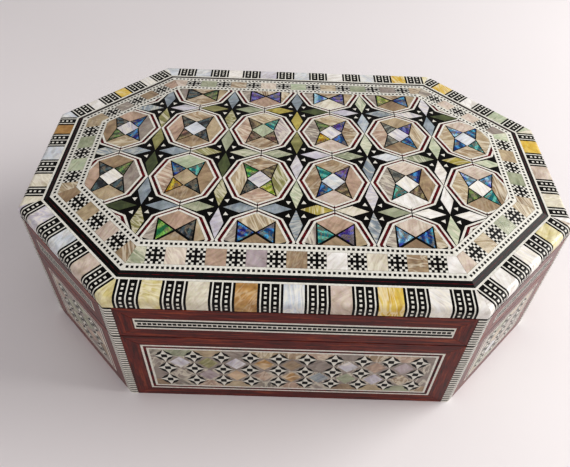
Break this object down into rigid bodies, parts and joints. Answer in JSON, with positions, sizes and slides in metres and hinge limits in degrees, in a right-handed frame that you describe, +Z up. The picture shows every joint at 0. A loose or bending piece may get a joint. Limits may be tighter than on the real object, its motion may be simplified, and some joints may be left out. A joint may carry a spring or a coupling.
{
  "type": "inlaid wooden box",
  "caption": "Octagonal wooden keepsake box with a hinged, shallow-domed lid, inlaid with mother-of-pearl, abalone, bone and black wood, and lined with velvet.",
  "frame": {"origin": "middle of the underside, level with the surface the box stands on", "axes": "+X along the box to the right, the front faces -Y, the hinges are at +Y, +Z up"},
  "size_m": [0.244, 0.1624, 0.0811],
  "materials": {
    "walnut_frame": "dark red-brown hardwood, satin lacquer",
    "core_board": "plain softwood board, unfinished",
    "side_mosaic": "mother-of-pearl and bone star mosaic, polished",
    "side_strip": "bone and ebony thread strip, polished",
    "pearl_inlay": "mother-of-pearl and abalone pieces in black resin, polished",
    "ebony_band": "black wood strip, polished",
    "bone_thread": "bone thread with black dots, polished",
    "check_inlay": "pearl pieces and bone and ebony check squares, polished",
    "velvet_lining": "dark red velvet",
    "underside_felt": "black felt",
    "hinge_brass": "plain brass"
  },
  "bodies": {
    "base": {"base_wall_front": "walnut_frame", "base_inlay_front": "side_mosaic", "base_wall_front_right": "walnut_frame", "base_inlay_front_right": "side_mosaic", "base_wall_right": "walnut_frame", "base_inlay_right": "side_mosaic", "base_wall_back_right": "walnut_frame", "base_inlay_back_right": "side_mosaic", "base_wall_back": "walnut_frame", "base_inlay_back": "side_mosaic", "base_wall_back_left": "walnut_frame", "base_inlay_back_left": "side_mosaic", "base_wall_left": "walnut_frame", "base_inlay_left": "side_mosaic", "base_wall_front_left": "walnut_frame", "base_inlay_front_left": "side_mosaic", "base_floor_board": "core_board", "underside_felt": "underside_felt", "base_floor_pad": "velvet_lining", "base_wall_lining": "velvet_lining", "hinge_left_base_leaf": "hinge_brass", "hinge_left_base_screw_a": "hinge_brass", "hinge_left_base_screw_b": "hinge_brass", "hinge_left_pin": "hinge_brass", "hinge_right_base_leaf": "hinge_brass", "hinge_right_base_screw_a": "hinge_brass", "hinge_right_base_screw_b": "hinge_brass", "hinge_right_pin": "hinge_brass"},
    "lid": {"lid_wall_front": "walnut_frame", "lid_inlay_front": "side_strip", "lid_wall_front_right": "walnut_frame", "lid_inlay_front_right": "side_strip", "lid_wall_right": "walnut_frame", "lid_inlay_right": "side_strip", "lid_wall_back_right": "walnut_frame", "lid_inlay_back_right": "side_strip", "lid_wall_back": "walnut_frame", "lid_inlay_back": "side_strip", "lid_wall_back_left": "walnut_frame", "lid_inlay_back_left": "side_strip", "lid_wall_left": "walnut_frame", "lid_inlay_left": "side_strip", "lid_wall_front_left": "walnut_frame", "lid_inlay_front_left": "side_strip", "lid_board": "core_board", "lid_lining_pad": "velvet_lining", "lid_wall_lining": "velvet_lining", "top_border": "pearl_inlay", "top_black_band": "ebony_band", "top_outer_thread": "bone_thread", "top_check_band": "check_inlay", "top_inner_thread": "bone_thread", "top_field_panel": "pearl_inlay", "hinge_left_lid_leaf": "hinge_brass", "hinge_left_lid_screw_a": "hinge_brass", "hinge_left_lid_screw_b": "hinge_brass", "hinge_right_lid_leaf": "hinge_brass", "hinge_right_lid_screw_a": "hinge_brass", "hinge_right_lid_screw_b": "hinge_brass"}
  },
  "joints": [
    {"name": "lid_hinge", "type": "hinge", "parent": "base", "child": "lid", "pos_m": [0, 0.0792, 0.0496], "axis": [-1, 0, 0], "range_deg": [0, 98]}
  ]
}
